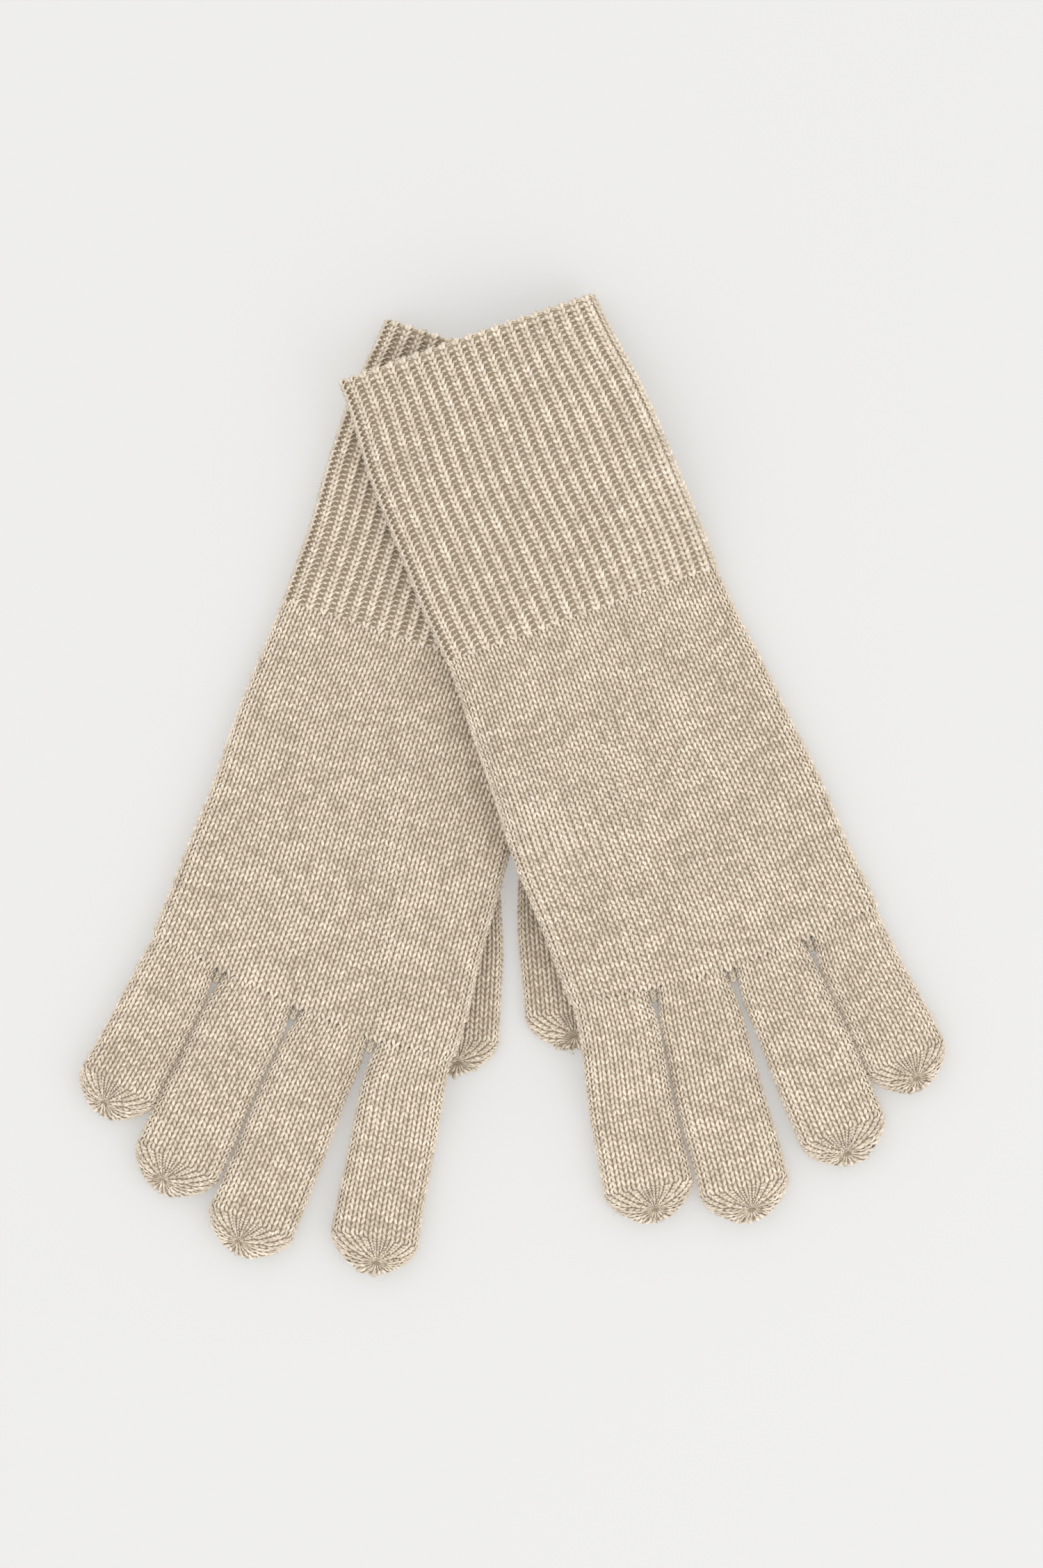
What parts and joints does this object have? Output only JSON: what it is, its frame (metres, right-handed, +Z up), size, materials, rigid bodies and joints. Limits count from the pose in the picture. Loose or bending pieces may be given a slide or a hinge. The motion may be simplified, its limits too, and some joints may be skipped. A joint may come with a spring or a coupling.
{
  "type": "knitted gloves",
  "caption": "Long-cuffed knitted gloves, a left and a right, lying flat and crossed at the wrists, with fingers, thumbs and cuffs that fold.",
  "frame": {"origin": "on the surface the pair lies on, under the middle of its bounding box", "axes": "+Z up from the surface, fingers towards -Y, cuffs towards +Y, the left glove on the +X side"},
  "size_m": [0.2508, 0.2832, 0.0306],
  "materials": {
    "plain_knit": "soft carded cashmere in a heathered oatmeal, single jersey, matt with a fine halo",
    "rib_knit": "the same heathered oatmeal yarn in one-by-one rib, matt",
    "cast_on_edge": "the same yarn in a rounded cast-on edge, matt",
    "gathered_tip": "the same yarn, narrowed to a gathered point, matt",
    "crotch_stitches": "the same yarn in tight closing stitches, matt"
  },
  "bodies": {
    "right_hand": {"right_hand": "plain_knit", "right_index_middle_join": "crotch_stitches", "right_middle_ring_join": "crotch_stitches", "right_ring_little_join": "crotch_stitches"},
    "right_cuff": {"right_cuff_rib": "rib_knit", "right_cuff_welt": "cast_on_edge"},
    "right_index_finger": {"right_index_finger": "plain_knit", "right_index_tip": "gathered_tip"},
    "right_middle_finger": {"right_middle_finger": "plain_knit", "right_middle_tip": "gathered_tip"},
    "right_ring_finger": {"right_ring_finger": "plain_knit", "right_ring_tip": "gathered_tip"},
    "right_little_finger": {"right_little_finger": "plain_knit", "right_little_tip": "gathered_tip"},
    "right_thumb": {"right_thumb": "plain_knit", "right_thumb_tip": "gathered_tip"},
    "left_hand": {"left_hand": "plain_knit", "left_index_middle_join": "crotch_stitches", "left_middle_ring_join": "crotch_stitches", "left_ring_little_join": "crotch_stitches"},
    "left_cuff": {"left_cuff_rib": "rib_knit", "left_cuff_welt": "cast_on_edge"},
    "left_index_finger": {"left_index_finger": "plain_knit", "left_index_tip": "gathered_tip"},
    "left_middle_finger": {"left_middle_finger": "plain_knit", "left_middle_tip": "gathered_tip"},
    "left_ring_finger": {"left_ring_finger": "plain_knit", "left_ring_tip": "gathered_tip"},
    "left_little_finger": {"left_little_finger": "plain_knit", "left_little_tip": "gathered_tip"},
    "left_thumb": {"left_thumb": "plain_knit", "left_thumb_tip": "gathered_tip"}
  },
  "joints": [
    {"name": "left_glove_lift", "type": "slide", "parent": "right_hand", "child": "left_hand", "axis": [0, 0, 1], "range_m": [0, 0.08]},
    {"name": "right_cuff_fold", "type": "hinge", "parent": "right_hand", "child": "right_cuff", "pos_m": [-0.02666, 0.0401, 0], "axis": [-0.9516, 0.3074, 0], "range_deg": [0, 60]},
    {"name": "right_index_fold", "type": "hinge", "parent": "right_hand", "child": "right_index_finger", "pos_m": [-0.02812, -0.0758, 0.014], "axis": [-0.9806, 0.1959, 0], "range_deg": [0, 90]},
    {"name": "right_middle_fold", "type": "hinge", "parent": "right_hand", "child": "right_middle_finger", "pos_m": [-0.05082, -0.06881, 0.01109], "axis": [-0.9198, 0.3923, 0], "range_deg": [0, 90]},
    {"name": "right_ring_fold", "type": "hinge", "parent": "right_hand", "child": "right_ring_finger", "pos_m": [-0.07246, -0.0589, 0.0084], "axis": [-0.898, 0.4399, 0], "range_deg": [0, 90]},
    {"name": "right_little_fold", "type": "hinge", "parent": "right_hand", "child": "right_little_finger", "pos_m": [-0.0934, -0.04817, 0.0084], "axis": [-0.8813, 0.4726, 0], "range_deg": [0, 80]},
    {"name": "right_thumb_open", "type": "hinge", "parent": "right_hand", "child": "right_thumb", "pos_m": [-0.01362, -0.02003, 0], "axis": [0.9982, -0.0593, 0], "range_deg": [0, 90]},
    {"name": "left_cuff_fold", "type": "hinge", "parent": "left_hand", "child": "left_cuff", "pos_m": [0.02055, 0.04833, 0.0193], "axis": [0.9415, 0.3371, 0], "range_deg": [0, 60]},
    {"name": "left_index_fold", "type": "hinge", "parent": "left_hand", "child": "left_index_finger", "pos_m": [0.02837, -0.06105, 0.014], "axis": [-0.981, -0.1942, 0], "range_deg": [0, 90]},
    {"name": "left_middle_fold", "type": "hinge", "parent": "left_hand", "child": "left_middle_finger", "pos_m": [0.05192, -0.05581, 0.0106], "axis": [-0.9707, -0.2402, 0], "range_deg": [0, 90]},
    {"name": "left_ring_fold", "type": "hinge", "parent": "left_hand", "child": "left_ring_finger", "pos_m": [0.0745, -0.04852, 0.0084], "axis": [-0.9278, -0.373, 0], "range_deg": [0, 90]},
    {"name": "left_little_fold", "type": "hinge", "parent": "left_hand", "child": "left_little_finger", "pos_m": [0.09589, -0.03939, 0.0084], "axis": [-0.9107, -0.4131, 0], "range_deg": [0, 80]},
    {"name": "left_thumb_open", "type": "hinge", "parent": "left_hand", "child": "left_thumb", "pos_m": [0.01217, -0.01263, 0.00231], "axis": [0.9959, 0.0906, 0], "range_deg": [0, 90]}
  ]
}
